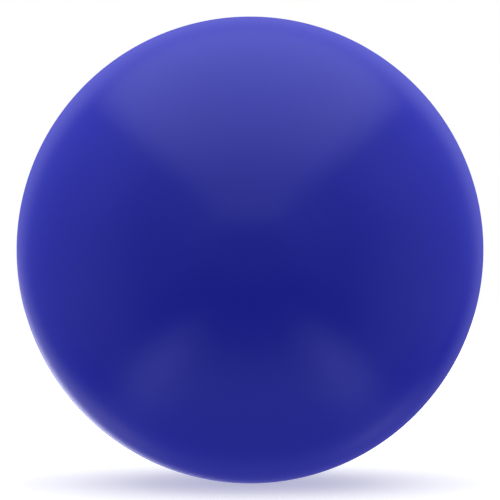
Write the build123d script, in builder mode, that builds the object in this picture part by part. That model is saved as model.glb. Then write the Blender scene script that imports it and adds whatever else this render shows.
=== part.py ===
from build123d import *
import os
from math import cos, radians, sin

# Croquet ball: a cork and rubber core in a two-piece nylon shell, welded round the middle.
#
# The frame's origin is the ball's centre and +Z is up. The mould axis is Y: the front half shell
# has y < 0, the rear half shell has y > 0, and they are welded in the plane y = 0. Each piece of
# the shell is a section in the XY plane, with x as the distance from the mould axis, turned once
# round Y. Millimetres throughout.

# Driving dimensions
BALL_DIAMETER = 3.625 * IN  # the size that hoops are set for
WALL_THICKNESS = 10.0  # of the nylon shell
CEMENT_THICKNESS = 0.25  # between the core and the shell

TONGUE_WIDTH = 3.0  # ring on the front rim, half way through the wall
TONGUE_HEIGHT = 4.0
TONGUE_CHAMFER = 0.6
WELD_FILM = 0.2  # nylon that melted and set between the two rims
GROOVE_ROOT_GAP = 0.6  # room past the tongue for the melt that it pushes ahead
FLASH_WELL = 1.2  # chamfer on each rim's inner edge, which catches squeezed-out melt
SEAM_VEE = 0.4  # the same on the outer edge: half the weld's width where it shows

PIPS_PER_HALF = 4  # studs inside each half that centre the core and stop it turning
PIP_TILT = 50  # degrees from the mould axis
PIP_HEIGHT = 3.0
PIP_BASE_RADIUS = 3.0
PIP_TIP_RADIUS = 1.6
PIP_ROOT = 0.5  # how far a pip's cone starts inside the wall

# Worked out from those
BALL_RADIUS = BALL_DIAMETER / 2
CAVITY_RADIUS = BALL_RADIUS - WALL_THICKNESS
CORE_RADIUS = CAVITY_RADIUS - CEMENT_THICKNESS
TONGUE_MIDDLE = (CAVITY_RADIUS + BALL_RADIUS) / 2
TONGUE_INNER = TONGUE_MIDDLE - TONGUE_WIDTH / 2
TONGUE_OUTER = TONGUE_MIDDLE + TONGUE_WIDTH / 2
GROOVE_WIDTH = TONGUE_WIDTH + 2 * WELD_FILM
GROOVE_DEPTH = TONGUE_HEIGHT + GROOVE_ROOT_GAP

FRONT, REAR = -1, 1  # the two sides of the weld, along Y


def wall_section():
    """Half of the shell's cross-section: the ring between the cavity and the outside, x > 0."""
    with BuildSketch(Plane.XY) as wall:
        Circle(BALL_RADIUS)
        Circle(CAVITY_RADIUS, mode=Mode.SUBTRACT)
        Rectangle(
            BALL_RADIUS, BALL_DIAMETER, align=(Align.MIN, Align.CENTER), mode=Mode.INTERSECT
        )
    return wall.sketch


def half_plane(side):
    """The area on one side of the weld, for cutting the wall's section."""
    with BuildSketch(Plane.XY) as area:
        with Locations((0, side * BALL_RADIUS / 2)):
            Rectangle(BALL_DIAMETER, BALL_RADIUS)
    return area.sketch


def tongue_section():
    """The front half's tongue, from its rim to its chamfered tip."""
    with BuildSketch(Plane.XY) as tongue:
        with Locations((TONGUE_MIDDLE, -WELD_FILM / 2)):
            Rectangle(
                TONGUE_WIDTH, TONGUE_HEIGHT + WELD_FILM / 2, align=(Align.CENTER, Align.MIN)
            )
        chamfer(tongue.vertices().group_by(Axis.Y)[-1], TONGUE_CHAMFER)
    return tongue.sketch


def weld_section():
    """What neither rim fills, tongue included: the film between the rims, the groove in the
    rear half, the flash well at the cavity, and the vee at the surface."""
    with BuildSketch(Plane.XY) as gap:
        Rectangle(2 * BALL_DIAMETER, WELD_FILM)
        with Locations((TONGUE_MIDDLE, 0)):
            Rectangle(GROOVE_WIDTH, GROOVE_DEPTH, align=(Align.CENTER, Align.MIN))
        with Locations((CAVITY_RADIUS, 0)):
            RegularPolygon(FLASH_WELL, side_count=4)
        with Locations((BALL_RADIUS, 0)):
            RegularPolygon(SEAM_VEE, side_count=4)
    return gap.sketch


def pip_planes(side):
    """Planes just inside the wall of one half, one for each pip, each facing the centre."""
    tilt = radians(PIP_TILT)
    planes = []
    for n in range(PIPS_PER_HALF):
        turn = radians((n + 0.5) * 360 / PIPS_PER_HALF)
        outwards = Vector(sin(tilt) * cos(turn), side * cos(tilt), sin(tilt) * sin(turn))
        planes.append(Plane(outwards * (CAVITY_RADIUS + PIP_ROOT), z_dir=-outwards))
    return planes


def pips(side, clearance=0.0, mode=Mode.ADD):
    """One half's pips, or with a clearance the sockets that they sit in."""
    with Locations(*pip_planes(side)):
        Cone(
            PIP_BASE_RADIUS + clearance,
            PIP_TIP_RADIUS + clearance,
            PIP_ROOT + PIP_HEIGHT + clearance,
            align=(Align.CENTER, Align.CENTER, Align.MIN),
            mode=mode,
        )


# Front half shell: injection-moulded nylon, with the tongue on its rim
with BuildPart() as front_half_shell:
    with BuildSketch(Plane.XY):
        add(wall_section())
        add(half_plane(FRONT), mode=Mode.INTERSECT)
        add(weld_section(), mode=Mode.SUBTRACT)
        add(tongue_section())
    revolve(axis=Axis.Y)
    pips(FRONT)
front_half_shell.part.label = "front_half_shell"

# Rear half shell: the same moulding with a groove in place of the tongue
with BuildPart() as rear_half_shell:
    with BuildSketch(Plane.XY):
        add(wall_section())
        add(half_plane(REAR), mode=Mode.INTERSECT)
        add(weld_section(), mode=Mode.SUBTRACT)
    revolve(axis=Axis.Y)
    pips(REAR)
rear_half_shell.part.label = "rear_half_shell"

# Seam weld: the melt that set between the rims and round the tongue, ground flush outside
with BuildPart() as seam_weld:
    with BuildSketch(Plane.XY):
        add(wall_section())
        add(weld_section(), mode=Mode.INTERSECT)
        add(tongue_section(), mode=Mode.SUBTRACT)
    revolve(axis=Axis.Y)
seam_weld.part.label = "seam_weld"

# Core: granulated cork bound with rubber, pressed with a socket for each pip
with BuildPart() as cork_core:
    Sphere(CORE_RADIUS)
    pips(FRONT, clearance=CEMENT_THICKNESS, mode=Mode.SUBTRACT)
    pips(REAR, clearance=CEMENT_THICKNESS, mode=Mode.SUBTRACT)
cork_core.part.label = "cork_core"

# Cement: the coat that is left between the core and the shell, round the pips too
with BuildPart() as core_cement:
    Sphere(CAVITY_RADIUS)
    pips(FRONT, mode=Mode.SUBTRACT)
    pips(REAR, mode=Mode.SUBTRACT)
    add(cork_core.part, mode=Mode.SUBTRACT)
core_cement.part.label = "core_cement"

os.makedirs("parts", exist_ok=True)
export_step(front_half_shell.part, "parts/front_half_shell.step")
export_step(rear_half_shell.part, "parts/rear_half_shell.step")
export_step(seam_weld.part, "parts/seam_weld.step")
export_step(cork_core.part, "parts/cork_core.step")
export_step(core_cement.part, "parts/core_cement.step")
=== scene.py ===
import math

import bpy
import numpy as np
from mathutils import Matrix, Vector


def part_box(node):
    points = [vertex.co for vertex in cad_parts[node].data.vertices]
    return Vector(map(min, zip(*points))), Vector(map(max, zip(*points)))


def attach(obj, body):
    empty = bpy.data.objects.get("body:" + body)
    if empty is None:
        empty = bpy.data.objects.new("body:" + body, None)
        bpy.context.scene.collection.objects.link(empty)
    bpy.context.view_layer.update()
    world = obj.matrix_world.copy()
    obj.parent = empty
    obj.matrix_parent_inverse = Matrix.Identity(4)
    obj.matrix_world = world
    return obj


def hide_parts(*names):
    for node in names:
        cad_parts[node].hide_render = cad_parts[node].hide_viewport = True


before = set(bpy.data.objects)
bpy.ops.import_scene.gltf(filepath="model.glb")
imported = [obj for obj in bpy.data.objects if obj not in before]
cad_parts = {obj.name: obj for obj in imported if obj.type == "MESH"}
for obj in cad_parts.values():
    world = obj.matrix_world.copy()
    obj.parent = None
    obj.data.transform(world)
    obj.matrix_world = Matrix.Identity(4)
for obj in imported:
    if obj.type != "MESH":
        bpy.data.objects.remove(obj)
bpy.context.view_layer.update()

# ---------------------------------------------------------------------------------------------
# Cork core. Granulated cork bound with filled rubber and pressed hot in a ball mould, which
# leaves each granule's outline as a shallow groove. Sockets take the pips of the two half
# shells, so that the core sits in the middle and can't turn.
# ---------------------------------------------------------------------------------------------
MM = 0.001
FRONT, REAR = -1, 1  # the two sides of the weld, along Y
QUARTER = math.pi / 2
CORE_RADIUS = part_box("cork_core")[1].z
CORE_GRID = 221  # lines each way over one half of the ball
MERGED_DIGITS = 8  # decimals of a metre to which points that coincide are the same

PIPS_PER_HALF = 4
PIP_TILT = math.radians(50)  # from the mould axis
PIP_HEIGHT = 3.0 * MM
SOCKET_FOOT, SOCKET_TIP = 2.97 * MM, 1.85 * MM  # radii at the core's surface and at the bottom

GRANULE = 2.6 * MM
GROOVE_DEPTH = 0.16 * MM
GROOVE_SHARE = 0.16  # of a granule's size, where the groove has run out


def smooth_step(value, low, high):
    """0 below low and 1 above high, and between them three times the square of the share less
    twice its cube."""
    share = np.clip((value - low) / (high - low), 0, 1)
    return share * share * (3 - 2 * share)


def grid_lines(count, window=0.08, closeness=3.0):
    """Positions from -1 to 1, packed closer where the pips stand: equal steps along the running
    sum of a density that is 1, or the closeness within the window of a pip. Both sides of the
    middle are made exactly alike, so that the edges of two grids meet."""
    place = np.linspace(-1, 1, 20 * count + 1)
    near_pip = np.abs(np.abs(place) - PIP_TILT / QUARTER) < window
    run = np.cumsum(1 + (closeness - 1) * near_pip)
    lines = np.interp(np.linspace(run[0], run[-1], count), run, place)
    return (lines - lines[::-1]) / 2


def half_ball(lines, side, rim_tilt=QUARTER):
    """Unit directions over one half of the ball, as a grid with no pole. The square grid is
    pressed into a disc: the larger coordinate is the distance from the middle, and the turn is
    an eighth of a circle times the smaller over the larger. The distance then becomes the tilt
    from the mould axis, up to the rim's."""
    a, b = np.meshgrid(lines, lines, indexing="ij")
    wide = np.abs(a) >= np.abs(b)
    reach = np.where(wide, a, b)
    ratio = np.where(wide, b, a) / np.where(reach == 0, 1, reach)
    turn = np.where(wide, ratio, 2 - ratio) * math.pi / 4
    tilt = reach * rim_tilt
    grid = np.stack([np.sin(tilt) * np.cos(turn), side * np.cos(tilt), np.sin(tilt) * np.sin(turn)], -1)
    return grid[::-side]


def pip_relief(directions, side, radius, foot, tip):
    """1 on the pips' tips and 0 on the wall. The distance from a pip's axis is the radius times
    the sine of the angle to it, and the height is faired between the foot and the tip."""
    nearest = np.full(directions.shape[:-1], 1.0)
    for n in range(PIPS_PER_HALF):
        turn = (n + 0.5) * 2 * math.pi / PIPS_PER_HALF
        leaning = math.sin(PIP_TILT)
        axis = (leaning * math.cos(turn), side * math.cos(PIP_TILT), leaning * math.sin(turn))
        along = directions @ np.array(axis)
        away = np.where(along > 0, radius * np.sqrt(np.clip(1 - along**2, 0, 1)), 1.0)
        nearest = np.minimum(nearest, away)
    return 1 - smooth_step(nearest, tip, foot)


def scattered(cubes, salt):
    """A number from 0 to 1 for each cube, from an integer hash of its three coordinates."""
    mixed = (cubes @ np.array([73856093, 19349663, 83492791]) + salt * 40503) & 0xFFFFFFFF
    for _ in range(2):
        mixed = ((mixed ^ (mixed >> 16)) * 0x45D9F3B) & 0xFFFFFFFF
    return ((mixed >> 8) & 0xFFFF) / 0xFFFF


def granules(points):
    """How far each point is inside its granule, from 0 at the outline, and a number that is the
    granule's own. Space is cut into cubes with one seed in each, a point belongs to the nearest
    seed, and the gap between the nearest and the next is its depth inside."""
    cubes = np.floor(points / GRANULE).astype(np.int64)
    first = np.full(len(points), np.inf)
    second, own = first.copy(), np.zeros(len(points))
    for offset in np.ndindex(3, 3, 3):
        cube = cubes + np.array(offset) - 1
        seed = cube + np.stack([scattered(cube, salt) for salt in (1, 2, 3)], -1)
        away = np.linalg.norm(points / GRANULE - seed, axis=-1)
        second = np.minimum(second, np.maximum(first, away))
        own = np.where(away < first, scattered(cube, 4), own)
        first = np.minimum(first, away)
    return second - first, own


def make_piece(name, skins):
    """Sews closed skins into one mesh. A skin is a list of grids: each becomes quads, and points
    that coincide are merged. Its quads are turned so that the first skin encloses a positive
    volume and any other, which bounds a hollow, a negative one."""
    all_points, all_quads, points_before = [], [], 0
    for number, grids in enumerate(skins):
        loose, quads, start = [], [], 0
        for grid in grids:
            rows, columns = grid.shape[:2]
            at = start + np.arange(rows * columns).reshape(rows, columns)
            corners = [at[:-1, :-1], at[1:, :-1], at[1:, 1:], at[:-1, 1:]]
            quads.append(np.stack(corners, -1).reshape(-1, 4))
            loose.append(grid.reshape(-1, 3))
            start += rows * columns
        loose, quads = np.concatenate(loose), np.concatenate(quads)
        near = np.round(loose, MERGED_DIGITS) + 0.0
        _, kept, place = np.unique(near, axis=0, return_index=True, return_inverse=True)
        points, quads = loose[kept], place.ravel()[quads]
        p, q, r, s = (points[quads[:, k]] for k in range(4))
        volume = np.sum(np.cross(p, q) * r) + np.sum(np.cross(p, r) * s)
        if (volume < 0) == (number == 0):
            quads = quads[:, ::-1]
        all_points.append(points)
        all_quads.append(quads + points_before)
        points_before += len(points)
    points, quads = np.concatenate(all_points), np.concatenate(all_quads)
    mesh = bpy.data.meshes.new(name)
    mesh.vertices.add(len(points))
    mesh.vertices.foreach_set("co", points.astype(np.float32).ravel())
    mesh.loops.add(quads.size)
    mesh.loops.foreach_set("vertex_index", quads.astype(np.int32).ravel())
    mesh.polygons.add(len(quads))
    mesh.polygons.foreach_set("loop_start", np.arange(0, quads.size, 4, dtype=np.int32))
    mesh.update(calc_edges=True)
    mesh.shade_smooth()
    piece = bpy.data.objects.new(name, mesh)
    bpy.context.scene.collection.objects.link(piece)
    return piece, points


def give_values(piece, name, values):
    """Stores one number for each point of the mesh, for a material to read."""
    layer = piece.data.attributes.new(name, "FLOAT", "POINT")
    layer.data.foreach_set("value", values.astype(np.float32))


def feed(tree, socket, value):
    """Links the socket to another one, or sets it to a number or a colour."""
    if isinstance(value, bpy.types.NodeSocket):
        tree.links.new(value, socket)
    else:
        socket.default_value = value


def add_node(tree, kind, settings=None, **inputs):
    """A node with its settings, and each named input fed."""
    node = tree.nodes.new("ShaderNode" + kind)
    for key, value in (settings or {}).items():
        setattr(node, key, value)
    for key, value in inputs.items():
        feed(tree, node.inputs[key.replace("_", " ")], value)
    return node


def noise(tree, place, scale, detail=2.0, roughness=0.5):
    """Noise of the given scale, in waves to the metre, over a place socket."""
    return add_node(
        tree, "TexNoise", Vector=place, Scale=scale, Detail=detail, Roughness=roughness
    ).outputs[0]


def span(tree, value, low, high, to_low, to_high):
    """The value carried from the range low to high onto to_low to to_high, and held there."""
    return add_node(
        tree, "MapRange", Value=value, From_Min=low, From_Max=high, To_Min=to_low, To_Max=to_high
    ).outputs[0]


def blend(tree, share, first, second):
    """The first colour where the share is 0, and the second where it is 1."""
    node = add_node(tree, "Mix", {"data_type": "RGBA"})
    for number, value in ((0, share), (6, first), (7, second)):
        feed(tree, node.inputs[number], value)
    return node.outputs[2]


def bump(tree, height, distance, under=None):
    """A normal from a height that is worth distance metres, over another bump if one is given."""
    node = add_node(tree, "Bump", Height=height, Distance=distance, Strength=1.0)
    if under:
        feed(tree, node.inputs["Normal"], under)
    return node.outputs[0]


def start_material(name):
    """A node material, with its tree, its shader and the piece's own place in metres."""
    material = bpy.data.materials.new(name)
    material.use_nodes = True
    tree = material.node_tree
    place = add_node(tree, "TexCoord").outputs["Object"]
    return material, tree, tree.nodes["Principled BSDF"], place


def core_skin(side):
    """Half of the core. The radius is the core's, less the pips' height in the sockets, and less
    the groove's depth along the granules' outlines outside them."""
    directions = half_ball(grid_lines(CORE_GRID), side)
    sockets = pip_relief(directions, side, CORE_RADIUS, SOCKET_FOOT, SOCKET_TIP)
    inside, _ = granules(directions.reshape(-1, 3) * CORE_RADIUS)
    groove = 1 - smooth_step(inside, 0, GROOVE_SHARE).reshape(sockets.shape)
    radius = CORE_RADIUS - PIP_HEIGHT * sockets - GROOVE_DEPTH * groove * (1 - sockets)
    # Both halves meet on the plain circle, so that their rims are the same points
    at_rim = np.abs(directions[..., 1]) < 1e-9
    return directions * np.where(at_rim, CORE_RADIUS, radius)[..., None]


def cork_material():
    """Tan cork granules, each of its own shade with fine dark pores, in a dark rubber binder."""
    material, tree, shader, place = start_material("pressed_cork")
    own = add_node(tree, "Attribute", {"attribute_name": "granule"}).outputs["Fac"]
    inside = add_node(tree, "Attribute", {"attribute_name": "inside"}).outputs["Fac"]
    grain = noise(tree, place, 2600, detail=4)
    pores = span(tree, noise(tree, place, 1300, detail=3, roughness=0.7), 0.34, 0.42, 0.75, 0.0)
    cork = blend(tree, own, (0.14, 0.065, 0.028, 1), (0.43, 0.26, 0.13, 1))
    cork = blend(tree, span(tree, grain, 0.3, 0.7, 0.0, 0.35), cork, (0.25, 0.12, 0.05, 1))
    cork = blend(tree, pores, cork, (0.035, 0.016, 0.008, 1))
    in_binder = span(tree, inside, 0.02, 0.1, 1.0, 0.0)
    feed(tree, shader.inputs["Base Color"], blend(tree, in_binder, cork, (0.018, 0.015, 0.013, 1)))
    feed(tree, shader.inputs["Roughness"], span(tree, grain, 0.3, 0.7, 0.95, 0.74))
    feed(tree, shader.inputs["Normal"], bump(tree, pores, -0.00008, bump(tree, grain, 0.00006)))
    shader.inputs["Specular IOR Level"].default_value = 0.3
    return material


cork_core, core_points = make_piece("cork_core_pressed", [[core_skin(FRONT), core_skin(REAR)]])
inside_granule, granule_number = granules(core_points)
give_values(cork_core, "inside", inside_granule)
give_values(cork_core, "granule", granule_number)
cork_core.data.materials.append(cork_material())
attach(cork_core, "root")
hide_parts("cork_core")

# ---------------------------------------------------------------------------------------------
# Core cement. A rubber cement brushed over the core before the shells close on it. It is left
# as a thin amber coat that fills the space between the core and the shells, pips included.
# ---------------------------------------------------------------------------------------------
CAVITY_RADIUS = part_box("core_cement")[1].z
CEMENT_GRID = 151
PIP_FOOT, PIP_TIP = 2.8 * MM, 1.6 * MM  # radii at the cavity's wall and at the end


def cement_skin(side, radius, foot, tip):
    """Half of a ball of the given radius, less the pips' height where the pips stand."""
    directions = half_ball(grid_lines(CEMENT_GRID), side)
    dents = pip_relief(directions, side, radius, foot, tip)
    return directions * (radius - PIP_HEIGHT * dents)[..., None]


def cement_material():
    """Amber cement with the broad streaks of the brush and small trapped bubbles."""
    material, tree, shader, place = start_material("rubber_cement")
    stretched = add_node(tree, "Mapping", Vector=place, Scale=(1.0, 0.16, 1.0)).outputs[0]
    streaks = noise(tree, stretched, 420, detail=4)
    bubble = add_node(tree, "TexVoronoi", Vector=place, Scale=520).outputs["Distance"]
    bubbles = span(tree, bubble, 0.08, 0.2, 1.0, 0.0)
    amber = blend(tree, span(tree, streaks, 0.3, 0.7, 0, 1), (0.3, 0.17, 0.055, 1), (0.5, 0.34, 0.16, 1))
    feed(tree, shader.inputs["Base Color"], blend(tree, bubbles, amber, (0.62, 0.48, 0.28, 1)))
    feed(tree, shader.inputs["Roughness"], span(tree, streaks, 0.3, 0.7, 0.3, 0.52))
    feed(tree, shader.inputs["Normal"], bump(tree, bubbles, 0.00004, bump(tree, streaks, 0.00012)))
    return material


core_cement, _ = make_piece(
    "core_cement_coat",
    [
        [cement_skin(side, CAVITY_RADIUS, PIP_FOOT, PIP_TIP) for side in (FRONT, REAR)],
        [cement_skin(side, CORE_RADIUS, SOCKET_FOOT, SOCKET_TIP) for side in (FRONT, REAR)],
    ],
)
core_cement.data.materials.append(cement_material())
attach(core_cement, "root")
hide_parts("core_cement")

# ---------------------------------------------------------------------------------------------
# Half shells. Nylon coloured right through, injection moulded as two thick cups. The front one
# has a tongue on its rim and the rear one a groove. After welding, the outside is ground round
# and tumbled to a satin finish, which leaves it very slightly out of round.
# ---------------------------------------------------------------------------------------------
BALL_RADIUS = -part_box("front_half_shell")[0].y
TONGUE_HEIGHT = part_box("front_half_shell")[1].y
TONGUE_WIDTH = 3.0 * MM
TONGUE_CHAMFER = 0.6 * MM
WELD_FILM = 0.2 * MM  # between the rims, and round the tongue
GROOVE_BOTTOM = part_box("seam_weld")[1].y
FLASH_WELL = 1.2 * MM
SEAM_VEE = 0.4 * MM
CORNER_RADIUS = 0.1 * MM
CORNER_STEPS = 4
SHELL_GRID = 181
OUT_OF_ROUND = 0.006 * MM
WAVES = 14  # in the out-of-round surface
WAVE_LENGTHS = (14 * MM, 36 * MM)
WAVES_FADE = 0.85  # of the way to the rim, where the waves start to die out
SCUFF_DULLNESS = 0.02  # added to the roughness

TONGUE_MIDDLE = (BALL_RADIUS + CAVITY_RADIUS) / 2
TONGUE_INNER, TONGUE_OUTER = TONGUE_MIDDLE - TONGUE_WIDTH / 2, TONGUE_MIDDLE + TONGUE_WIDTH / 2
GROOVE_INNER, GROOVE_OUTER = TONGUE_INNER - WELD_FILM, TONGUE_OUTER + WELD_FILM
HALF_FILM = WELD_FILM / 2


def on_circle(radius, height):
    """A point of the section, at that height from the weld, on a circle round the centre."""
    return (math.sqrt(radius**2 - height**2), height)


def well_height(radius, well):
    """How far from the weld a 45 degree chamfer of the given size meets the circle: the root of
    radius less the point's distance from the axis, plus its height, equal to the size."""
    return well - (radius - math.sqrt(radius**2 - well**2))


def rim_corners(side):
    """The rim's section from the ball's surface in to the cavity, as distance from the mould
    axis and height: the vee, the tongue or the groove, and the flash well."""
    face = side * HALF_FILM
    if side == FRONT:
        joint = [
            (TONGUE_OUTER, face),
            (TONGUE_OUTER, TONGUE_HEIGHT - TONGUE_CHAMFER),
            (TONGUE_OUTER - TONGUE_CHAMFER, TONGUE_HEIGHT),
            (TONGUE_INNER + TONGUE_CHAMFER, TONGUE_HEIGHT),
            (TONGUE_INNER, TONGUE_HEIGHT - TONGUE_CHAMFER),
            (TONGUE_INNER, face),
        ]
    else:
        joint = [
            (GROOVE_OUTER, face),
            (GROOVE_OUTER, GROOVE_BOTTOM),
            (GROOVE_INNER, GROOVE_BOTTOM),
            (GROOVE_INNER, face),
        ]
    return [
        on_circle(BALL_RADIUS, side * well_height(BALL_RADIUS, SEAM_VEE)),
        (BALL_RADIUS - SEAM_VEE + HALF_FILM, face),
        *joint,
        (CAVITY_RADIUS + FLASH_WELL - HALF_FILM, face),
        on_circle(CAVITY_RADIUS, side * well_height(CAVITY_RADIUS, FLASH_WELL)),
    ]


def rounded(corners):
    """The same line with each inner corner turned by a curve: the quadratic that leaves one
    side and joins the other at the corner radius from the corner."""
    corners = np.array(corners)
    line = [corners[:1]]
    share = np.linspace(0, 1, CORNER_STEPS)[:, None]
    for before, corner, after in zip(corners[:-2], corners[1:-1], corners[2:]):
        enter = corner + (before - corner) * CORNER_RADIUS / np.linalg.norm(before - corner)
        leave = corner + (after - corner) * CORNER_RADIUS / np.linalg.norm(after - corner)
        line.append((1 - share) ** 2 * enter + 2 * share * (1 - share) * corner + share**2 * leave)
    return np.concatenate([*line, corners[-1:]])


def rim_turns(lines):
    """The turns of a half ball's outermost grid points round the mould axis, once round."""
    eighth = lines * math.pi / 4
    return np.concatenate([eighth[:-1] + side * QUARTER for side in range(4)] + [eighth[:1] + 4 * QUARTER])


def turned(section, turns):
    """The section carried round the mould axis, one row for each of its points."""
    away, height = section[:, :1], section[:, 1:]
    flat = np.broadcast_to(height, (len(section), len(turns)))
    return np.stack([away * np.cos(turns), flat, away * np.sin(turns)], -1)


def out_of_round(directions):
    """A sum of plane waves in even directions over the ball, each with its own length."""
    n = np.arange(WAVES) + 0.5
    height = 1 - 2 * n / WAVES
    turn = n * math.pi * (3 - math.sqrt(5))
    flat = np.sqrt(1 - height**2)
    ways = np.stack([flat * np.cos(turn), flat * np.sin(turn), height], -1)
    lengths = np.linspace(*WAVE_LENGTHS, WAVES)
    phase = directions @ (ways * (2 * math.pi * BALL_RADIUS / lengths)[:, None]).T + n**2
    return np.cos(phase).sum(-1) / math.sqrt(WAVES)


def shell_skin(side):
    """The outside, the rim and the cavity's wall with its pips, as three grids. The waves die
    out towards the rim, so that it stays a true circle for the weld."""
    lines = grid_lines(SHELL_GRID)
    corners = rim_corners(side)
    outer_tilt = math.acos(abs(corners[0][1]) / BALL_RADIUS)
    inner_tilt = math.acos(abs(corners[-1][1]) / CAVITY_RADIUS)
    outside = half_ball(lines, side, outer_tilt)
    tilt = np.arccos(np.clip(np.abs(outside[..., 1]), 0, 1))
    fade = 1 - smooth_step(tilt, outer_tilt * WAVES_FADE, outer_tilt)
    outer = outside * (BALL_RADIUS + OUT_OF_ROUND * out_of_round(outside) * fade)[..., None]
    wall = half_ball(lines, side, inner_tilt)
    pips = pip_relief(wall, side, CAVITY_RADIUS, PIP_FOOT, PIP_TIP)
    inner = wall * (CAVITY_RADIUS - PIP_HEIGHT * pips)[..., None]
    rim = turned(rounded(corners), rim_turns(lines))
    return [outer, rim[::-side], inner[::-1]]


def nylon_material():
    """Royal blue nylon. The pigment has faint clouds, and the tumbled skin has a fine grain and
    a few hairline scuffs that are duller than the rest. The sheen and the tint of the reflection
    stand for light that goes a little way into the blue skin and comes out again."""
    material, tree, shader, place = start_material("satin_blue_nylon")
    clouds = noise(tree, place, 55, detail=3)
    grain = noise(tree, place, 3200, detail=3, roughness=0.6)
    drawn_out = {"Rotation": (0.0, 0.6, 0.2), "Scale": (30.0, 1.0, 1.0)}
    along = add_node(tree, "Mapping", {"vector_type": "TEXTURE"}, Vector=place, **drawn_out).outputs[0]
    scuffs = span(tree, noise(tree, along, 900), 0.68, 0.76, 0.0, SCUFF_DULLNESS)
    shade = span(tree, clouds, 0.3, 0.7, 0.0, 1.0)
    blue = blend(tree, shade, (0.0002, 0.0055, 0.265, 1), (0.0004, 0.0065, 0.29, 1))
    feed(tree, shader.inputs["Base Color"], blue)
    satin = span(tree, grain, 0.3, 0.7, 0.235, 0.25)
    dull = add_node(tree, "Math", {"operation": "ADD"})
    feed(tree, dull.inputs[0], satin)
    feed(tree, dull.inputs[1], scuffs)
    feed(tree, shader.inputs["Roughness"], dull.outputs[0])
    feed(tree, shader.inputs["Normal"], bump(tree, grain, 0.0000012))
    shader.inputs["IOR"].default_value = 1.7
    shader.inputs["Specular Tint"].default_value = (0.6, 0.6, 1, 1)
    shader.inputs["Sheen Weight"].default_value = 0.92
    shader.inputs["Sheen Roughness"].default_value = 0.68
    shader.inputs["Sheen Tint"].default_value = (0.0, 0.01, 1, 1)
    return material


nylon = nylon_material()
for side, name in ((FRONT, "front_half_shell"), (REAR, "rear_half_shell")):
    shell, _ = make_piece(name + "_moulded", [shell_skin(side)])
    shell.data.materials.append(nylon)
    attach(shell, "root")
    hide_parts(name)

# ---------------------------------------------------------------------------------------------
# Seam weld. The nylon that melted when the rims were pressed together hot. It filled the space
# round the tongue, the flash well and the vee. Where it shows it is ground flush, but it set
# faster than the mouldings, so it is a shade darker and stands a hair proud.
# ---------------------------------------------------------------------------------------------
WELD_TURNS = 720
WELD_CROWN = 0.025 * MM
CROWN_STEPS = 9
RIPPLES, SLOW_RIPPLES = 170, 102  # round the seam
RIPPLE_HEIGHT = 0.006 * MM


def crown_line():
    """The weld where it shows, from the front vee to the rear one: the ball's circle, raised by
    a parabola that is 0 at both vees."""
    reach = well_height(BALL_RADIUS, SEAM_VEE)
    height = np.linspace(-reach, reach, CROWN_STEPS)
    raised = BALL_RADIUS + WELD_CROWN * (1 - (height / reach) ** 2)
    return np.stack([np.sqrt(raised**2 - height**2), height], -1)


def cavity_line():
    """The weld at the cavity, from the rear flash well to the front one."""
    reach = well_height(CAVITY_RADIUS, FLASH_WELL)
    height = np.linspace(reach, -reach, CROWN_STEPS)
    return np.stack([np.sqrt(CAVITY_RADIUS**2 - height**2), height], -1)


def weld_skin():
    """The weld's closed section, carried round the mould axis, with ripples on its crown."""
    crown, cavity = crown_line(), cavity_line()
    rear, front = rounded(rim_corners(REAR)), rounded(rim_corners(FRONT))[::-1]
    section = np.concatenate([crown, rear[1:-1], cavity, front[1:]])
    section[-1] = section[0]
    turns = np.linspace(0, 2 * math.pi, WELD_TURNS + 1)
    grid = turned(section, turns)
    on_crown = np.zeros(len(section))
    on_crown[:CROWN_STEPS] = 1 - np.linspace(-1, 1, CROWN_STEPS) ** 2
    uneven = 0.6 * np.cos(RIPPLES * turns) + 0.4 * np.cos(SLOW_RIPPLES * turns)
    out = np.stack([np.cos(turns), 0 * turns, np.sin(turns)], -1)
    grid += RIPPLE_HEIGHT * on_crown[:, None, None] * uneven[None, :, None] * out
    grid[:, -1] = grid[:, 0]
    return [grid]


def weld_material():
    """The same nylon, a shade darker, with the fine lay of the grinding wheel along the seam."""
    material, tree, shader, place = start_material("weld_nylon")
    across = add_node(tree, "Mapping", Vector=place, Scale=(0.08, 1.0, 0.08)).outputs[0]
    lay = noise(tree, across, 9000, detail=2)
    clouds = noise(tree, place, 300, detail=2)
    shade = span(tree, clouds, 0.3, 0.7, 0, 1)
    blue = blend(tree, shade, (0.0002, 0.0045, 0.2, 1), (0.0004, 0.0055, 0.24, 1))
    feed(tree, shader.inputs["Base Color"], blue)
    feed(tree, shader.inputs["Roughness"], span(tree, lay, 0.3, 0.7, 0.36, 0.48))
    feed(tree, shader.inputs["Normal"], bump(tree, lay, 0.000006))
    shader.inputs["IOR"].default_value = 1.5
    return material


seam_weld, _ = make_piece("seam_weld_bead", [weld_skin()])
seam_weld.data.materials.append(weld_material())
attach(seam_weld, "root")
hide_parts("seam_weld")

# ---------------------------------------------------------------------------------------------
# Table. A plain pale sheet of opal acrylic that the ball stands on. It glows a little itself,
# and lets the light from the tent's bottom through.
# ---------------------------------------------------------------------------------------------
TENT_HALF = 1.5  # metres from the ball to each side of the light tent
TABLE_SHARE = 0.99  # of the tent's size
TABLE_GLOW = 0.45


def plain_plane(name, half, height):
    """A level square at that height, which reaches half its side each way from the middle."""
    corners = [(-half, -half, height), (half, -half, height), (half, half, height), (-half, half, height)]
    mesh = bpy.data.meshes.new(name)
    mesh.from_pydata(corners, [], [(0, 1, 2, 3)])
    plane = bpy.data.objects.new(name, mesh)
    bpy.context.scene.collection.objects.link(plane)
    return plane


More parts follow.
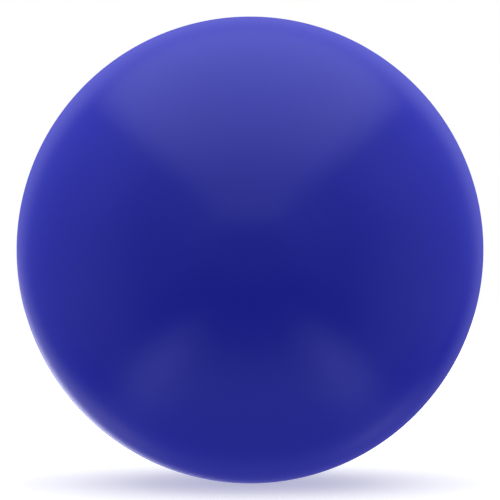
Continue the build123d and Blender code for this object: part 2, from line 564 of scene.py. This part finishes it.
table = plain_plane("table", TENT_HALF * TABLE_SHARE, -BALL_RADIUS)
opal, _, opal_shader, _ = start_material("opal_acrylic")
opal_shader.inputs["Base Color"].default_value = (0.85, 0.85, 0.85, 1)
opal_shader.inputs["Roughness"].default_value = 0.8
opal_shader.inputs["Specular IOR Level"].default_value = 0
opal_shader.inputs["Emission Color"].default_value = (1, 1, 1, 1)
opal_shader.inputs["Emission Strength"].default_value = TABLE_GLOW
table.data.materials.append(opal)
table.visible_diffuse = table.visible_glossy = table.visible_shadow = False

# ---------------------------------------------------------------------------------------------
# Light tent. A long tent of white cloth, a little wider than it is high, that stands round the
# table: lamps over the ceiling, dimmer side walls, two strips of light along the bottom, and a
# soft back with one small lamp. The light from the sides and the bottom is a little cooler.
# ---------------------------------------------------------------------------------------------
TENT_FRONT, TENT_BACK = -4, 1  # along Y, where the half height is 1
TENT_SHAPE = np.array([1.07, 1, 1])  # a little wider than it is high
TENT_GRID = 97
EDGE_START = 0.6  # of the tent's half width
FRONT_GLOW = 0.35


def hump(value, middle, width):
    """A bell: e to the minus square of the distance from the middle over the width."""
    return np.exp(-(((value - middle) / width) ** 2))


def ceiling_glow(x, y, z):
    """Brightest over the ball, and falling with the square of the distance past EDGE_START
    towards the sides."""
    past = np.clip((np.abs(x) - EDGE_START) / (1 - EDGE_START), 0, 1)
    return (0.8 + 0.8 * hump(y, -0.05, 0.9)) * (1 - 0.45 * past**2)


def bottom_glow(x, y, z):
    """Dim cloth, with a band of light across it a little in front of the ball, and a strip along
    each side, which is a bell across times a bell along."""
    strips = 0.45 * hump(np.abs(x), 0.72, 0.2) * hump(y, -0.5, 0.85)
    cloth = 0.25 - 0.05 * smooth_step(y, -1, 0.2) + 0.06 * smooth_step(y, 0.4, 1)
    return cloth + 0.26 * hump(y, -0.32, 0.65) + strips


def side_glow(x, y, z):
    """Brighter with height in two steps, with a bell of light beside the ball and a little more
    towards the front, and dimmer again in the top tenth."""
    rising = 0.18 + 0.15 * smooth_step(z, -1, -0.2) + 0.14 * smooth_step(z, -0.2, 0.9)
    cloth = rising + 0.2 * hump(y, -0.16, 0.6) + 0.05 * smooth_step(-y, 0.5, 1.5)
    return cloth * (1 - 0.35 * smooth_step(z, 0.8, 1))


def back_glow(x, y, z):
    """Brighter with height, with a soft patch low on the left, pale bottom corners, and a small
    lamp low and left of the middle. All but the lamp falls off towards the sides."""
    cloth = 0.22 + 0.52 * smooth_step(z, -0.6, 0.45) + 0.4 * hump(x, -0.6, 0.28) * hump(z, -0.42, 0.28)
    corners = 0.31 * smooth_step(-z, 0.45, 0.85) * smooth_step(np.abs(x), 0.2, 0.6)
    lamp = 4.2 * hump(x, -0.2, 0.15) * hump(z, -0.2, 0.13)
    return (cloth + corners) * (1 - 0.5 * smooth_step(np.abs(x), 0.5, 1)) + lamp


def front_glow(x, y, z):
    """Even all over."""
    return np.full_like(x, FRONT_GLOW)


def tent_wall(axis, place, glow):
    """One wall as a grid of points, where the given axis stays at its place, and its glow."""
    across = np.linspace(-1, 1, TENT_GRID)
    lines = [across, np.linspace(TENT_FRONT, TENT_BACK, TENT_GRID), across]
    lines[axis] = np.array([place])
    x, y, z = (line.squeeze() for line in np.meshgrid(*lines, indexing="ij"))
    return np.stack([x, y, z], -1), glow(x, y, z)


def cloth_material(name, colour):
    """Cloth that gives off light in one colour, as strongly as the wall's own glow says."""
    material, tree, _, _ = start_material(name)
    glow = add_node(tree, "Attribute", {"attribute_name": "glow"}).outputs["Fac"]
    lamp = add_node(tree, "Emission", Color=colour, Strength=glow)
    tree.links.new(lamp.outputs[0], tree.nodes["Material Output"].inputs["Surface"])
    return material


white_cloth = cloth_material("white_cloth", (1, 1, 1, 1))
cool_cloth = cloth_material("cool_cloth", (1, 1, 1.15, 1))
blue_cloth = cloth_material("blue_cloth", (1, 1.05, 1.42, 1))
walls = {
    "ceiling": (2, 1, ceiling_glow, white_cloth),
    "bottom": (2, -1, bottom_glow, blue_cloth),
    "left": (0, -1, side_glow, cool_cloth),
    "right": (0, 1, side_glow, cool_cloth),
    "back": (1, TENT_BACK, back_glow, white_cloth),
    "front": (1, TENT_FRONT, front_glow, white_cloth),
}
for name, (axis, place, glow, cloth) in walls.items():
    grid, brightness = tent_wall(axis, place, glow)
    at = np.arange(TENT_GRID**2).reshape(TENT_GRID, TENT_GRID)
    quads = np.stack([at[:-1, :-1], at[1:, :-1], at[1:, 1:], at[:-1, 1:]], -1).reshape(-1, 4)
    mesh = bpy.data.meshes.new("tent_" + name)
    mesh.from_pydata((grid.reshape(-1, 3) * TENT_HALF * TENT_SHAPE).tolist(), [], quads.tolist())
    wall = bpy.data.objects.new("tent_" + name, mesh)
    bpy.context.scene.collection.objects.link(wall)
    give_values(wall, "glow", brightness.ravel())
    mesh.materials.append(cloth)
    wall.visible_camera = False

# ---------------------------------------------------------------------------------------------
# Camera and surroundings. A long lens on the mould axis, level with the ball's centre. What is
# seen past the table is plain white.
# ---------------------------------------------------------------------------------------------
LENS, SENSOR = 200.0, 36.0  # mm
BALL_SHARE = 0.934  # of the picture's width

half_angle = math.atan(BALL_SHARE * SENSOR / 2 / LENS)
camera_data = bpy.data.cameras.new("camera")
camera_data.lens, camera_data.sensor_width = LENS, SENSOR
camera = bpy.data.objects.new("camera", camera_data)
camera.location = (0, -BALL_RADIUS / math.sin(half_angle), 0)
camera.rotation_euler = (QUARTER, 0, 0)
bpy.context.scene.collection.objects.link(camera)
bpy.context.scene.camera = camera

world = bpy.data.worlds.new("white_room")
world.use_nodes = True
world.node_tree.nodes["Background"].inputs["Color"].default_value = (1, 1, 1, 1)
bpy.context.scene.world = world
bpy.context.scene.view_settings.view_transform = "Standard"
